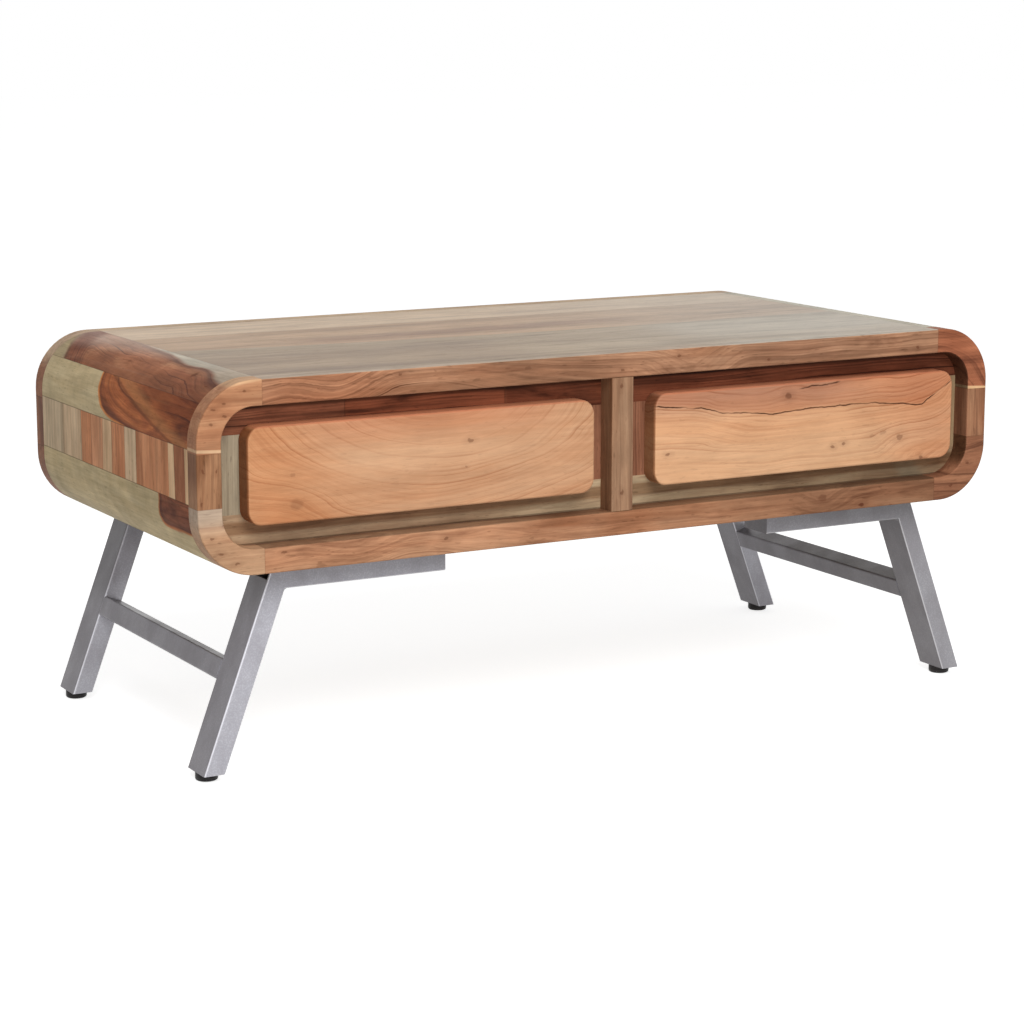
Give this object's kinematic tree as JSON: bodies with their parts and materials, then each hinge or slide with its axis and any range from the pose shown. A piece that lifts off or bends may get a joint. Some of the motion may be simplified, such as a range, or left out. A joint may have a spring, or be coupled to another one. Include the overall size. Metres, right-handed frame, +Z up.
{
  "type": "coffee table",
  "caption": "Low wooden coffee table with a rounded carcass, sliding overlay drawers and splayed painted steel tube leg frames on levelling feet.",
  "frame": {"origin": "on the floor under the middle of the table", "axes": "+X along the width to the viewer's right, +Y to the back, +Z up; the drawers face -Y"},
  "size_m": [1.1, 0.53, 0.466],
  "materials": {
    "top_wood": "satin oil",
    "stave_wood": "satin oil",
    "corner_wood": "satin oil",
    "ring_wood": "satin oil",
    "dark_frame_wood": "satin oil",
    "olive_frame_wood": "satin oil",
    "drawer_front_wood": "satin oil",
    "inner_wood": "plain sanded",
    "leg_paint": "satin silver paint",
    "screw_steel": "zinc plated",
    "foot_plastic": "matte black"
  },
  "bodies": {
    "carcass": {"arm_screws": "screw_steel", "back_left_arm": "leg_paint", "back_left_leg": "leg_paint", "back_panel": "inner_wood", "back_right_arm": "leg_paint", "back_right_leg": "leg_paint", "back_ring_corners": "ring_wood", "back_ring_rails": "ring_wood", "back_ring_stiles": "ring_wood", "bottom_left_corner_block": "corner_wood", "bottom_panel": "inner_wood", "bottom_right_corner_block": "corner_wood", "centre_partition": "inner_wood", "centre_post": "ring_wood", "drawer_runners": "inner_wood", "face_frame_bottom_rail": "olive_frame_wood", "face_frame_left_stile": "olive_frame_wood", "face_frame_middle_stile": "dark_frame_wood", "face_frame_right_stile": "olive_frame_wood", "face_frame_top_rail": "dark_frame_wood", "front_left_arm": "leg_paint", "front_left_leg": "leg_paint", "front_right_arm": "leg_paint", "front_right_leg": "leg_paint", "front_ring_bottom_left_corner": "ring_wood", "front_ring_bottom_rail": "ring_wood", "front_ring_bottom_right_corner": "ring_wood", "front_ring_left_stile": "ring_wood", "front_ring_right_stile": "ring_wood", "front_ring_top_left_corner": "ring_wood", "front_ring_top_rail": "ring_wood", "front_ring_top_right_corner": "ring_wood", "left_side_staves": "stave_wood", "left_stretcher": "leg_paint", "leg_corner_welds": "leg_paint", "leg_end_inserts": "foot_plastic", "right_side_staves": "stave_wood", "right_stretcher": "leg_paint", "runner_battens": "inner_wood", "top_boards": "top_wood", "top_left_corner_block": "corner_wood", "top_right_corner_block": "corner_wood"},
    "left_drawer": {"left_drawer_back": "inner_wood", "left_drawer_bottom": "inner_wood", "left_drawer_box_front": "inner_wood", "left_drawer_front": "drawer_front_wood", "left_drawer_front_screws": "screw_steel", "left_drawer_sides": "inner_wood"},
    "right_drawer": {"right_drawer_back": "inner_wood", "right_drawer_bottom": "inner_wood", "right_drawer_box_front": "inner_wood", "right_drawer_front": "drawer_front_wood", "right_drawer_front_screws": "screw_steel", "right_drawer_sides": "inner_wood"},
    "back_left_foot": {"back_left_foot": "foot_plastic"},
    "back_right_foot": {"back_right_foot": "foot_plastic"},
    "front_left_foot": {"front_left_foot": "foot_plastic"},
    "front_right_foot": {"front_right_foot": "foot_plastic"}
  },
  "joints": [
    {"name": "left_drawer_slide", "type": "slide", "parent": "carcass", "child": "left_drawer", "axis": [0, -1, 0], "range_m": [0, 0.3]},
    {"name": "right_drawer_slide", "type": "slide", "parent": "carcass", "child": "right_drawer", "axis": [0, -1, 0], "range_m": [0, 0.3]},
    {"name": "back_left_foot_screw", "type": "slide", "parent": "carcass", "child": "back_left_foot", "axis": [0, 0, -1], "range_m": [0, 0.008]},
    {"name": "back_right_foot_screw", "type": "slide", "parent": "carcass", "child": "back_right_foot", "axis": [0, 0, -1], "range_m": [0, 0.008]},
    {"name": "front_left_foot_screw", "type": "slide", "parent": "carcass", "child": "front_left_foot", "axis": [0, 0, -1], "range_m": [0, 0.008]},
    {"name": "front_right_foot_screw", "type": "slide", "parent": "carcass", "child": "front_right_foot", "axis": [0, 0, -1], "range_m": [0, 0.008]}
  ]
}
